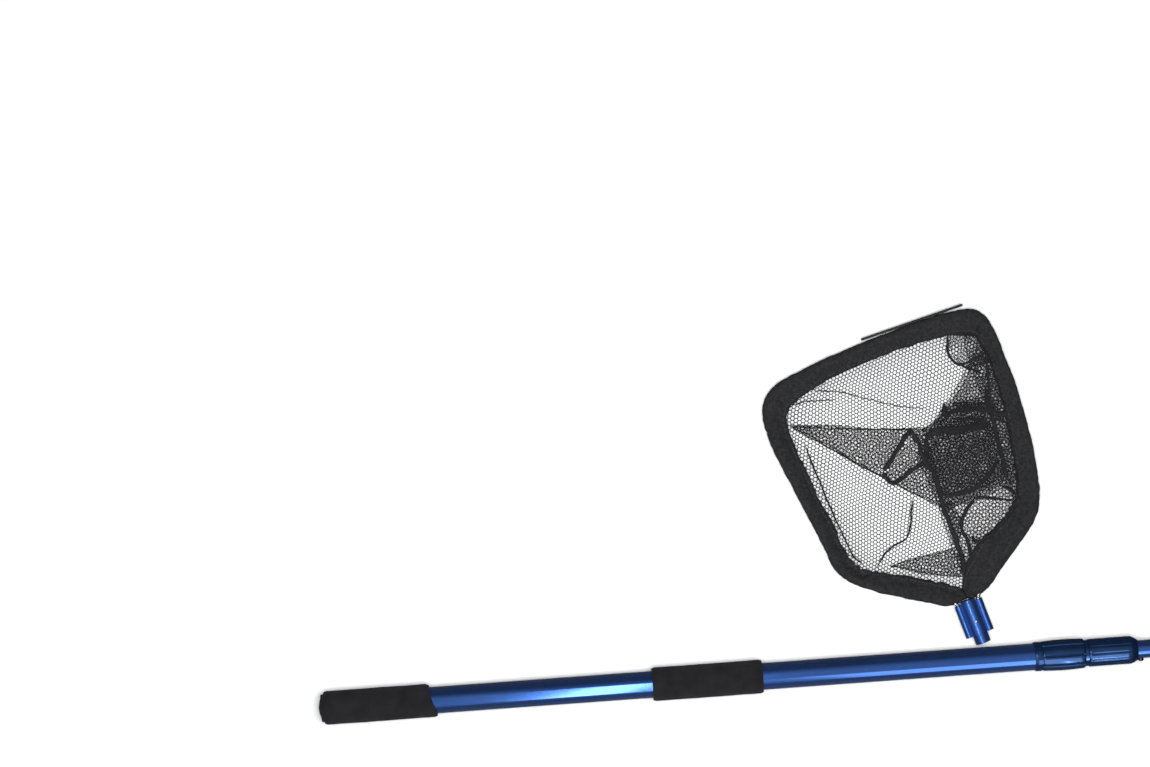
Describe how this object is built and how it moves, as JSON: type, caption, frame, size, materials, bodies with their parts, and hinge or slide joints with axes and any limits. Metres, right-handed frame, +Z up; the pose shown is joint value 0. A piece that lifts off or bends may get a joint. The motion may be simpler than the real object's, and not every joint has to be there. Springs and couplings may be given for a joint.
{
  "type": "leaf skimmer net",
  "caption": "Skimmer net: a bagged net head with a rounded hoop and hem, and a collapsed telescopic pole with twist locks and foam grips lying beside it.",
  "frame": {"origin": "middle of the object's box, on the plane that it lies on", "axes": "+X along the pole from butt to tip, +Y from the pole towards the net head, +Z up out of the net's mouth"},
  "size_m": [0.975, 0.419, 0.038],
  "materials": {
    "blue_aluminium": "glossy blue anodised",
    "navy_plastic": "gloss moulded",
    "grey_plastic": "as moulded",
    "black_foam": "matt closed-cell foam",
    "bright_steel": "bright",
    "hem_fabric": "matt woven polyester",
    "strip_plastic": "gloss",
    "black_netting": "knitted hexagonal netting"
  },
  "bodies": {
    "outer_section": {"outer_tube": "blue_aluminium", "butt_grip": "black_foam", "butt_plug": "grey_plastic", "middle_grip": "black_foam", "large_lock_body": "grey_plastic"},
    "large_collar": {"large_lock_collar": "navy_plastic"},
    "middle_section": {"middle_tube": "blue_aluminium", "middle_tube_bush": "grey_plastic", "small_lock_body": "navy_plastic"},
    "small_collar": {"small_lock_collar": "navy_plastic"},
    "inner_section": {"inner_tube": "blue_aluminium", "inner_tube_bush": "grey_plastic", "tip_plug": "grey_plastic", "button_spring": "bright_steel"},
    "spring_button": {"snap_button": "bright_steel"},
    "net_head": {"head_block": "blue_aluminium", "socket_tube": "blue_aluminium", "socket_rivet": "bright_steel", "hoop_rod": "bright_steel", "hem_lower_right": "hem_fabric", "hem_right": "hem_fabric", "hem_top": "hem_fabric", "hem_left": "hem_fabric", "hem_lower_left": "hem_fabric", "edge_strip": "strip_plastic", "net_bag": "black_netting"}
  },
  "joints": [
    {"name": "large_collar_turn", "type": "hinge", "parent": "outer_section", "child": "large_collar", "pos_m": [0.3425, -0.1905, 0.019], "axis": [1, 0, 0], "range_deg": [0, 100]},
    {"name": "middle_section_slide", "type": "slide", "parent": "outer_section", "child": "middle_section", "axis": [1, 0, 0], "range_m": [0, 0.68]},
    {"name": "small_collar_turn", "type": "hinge", "parent": "middle_section", "child": "small_collar", "pos_m": [0.4023, -0.1905, 0.019], "axis": [1, 0, 0], "range_deg": [0, 100]},
    {"name": "inner_section_slide", "type": "slide", "parent": "middle_section", "child": "inner_section", "axis": [1, 0, 0], "range_m": [0, 0.7]},
    {"name": "spring_button_press", "type": "slide", "parent": "inner_section", "child": "spring_button", "axis": [0, 1, 0], "range_m": [0, 0.0032], "stiffness_N_per_m": 500, "springref_m": -0.002, "deforming": ["button_spring"]},
    {"name": "net_head_lift", "type": "slide", "parent": "outer_section", "child": "net_head", "axis": [0, 0, 1], "range_m": [0, 0.25]}
  ]
}
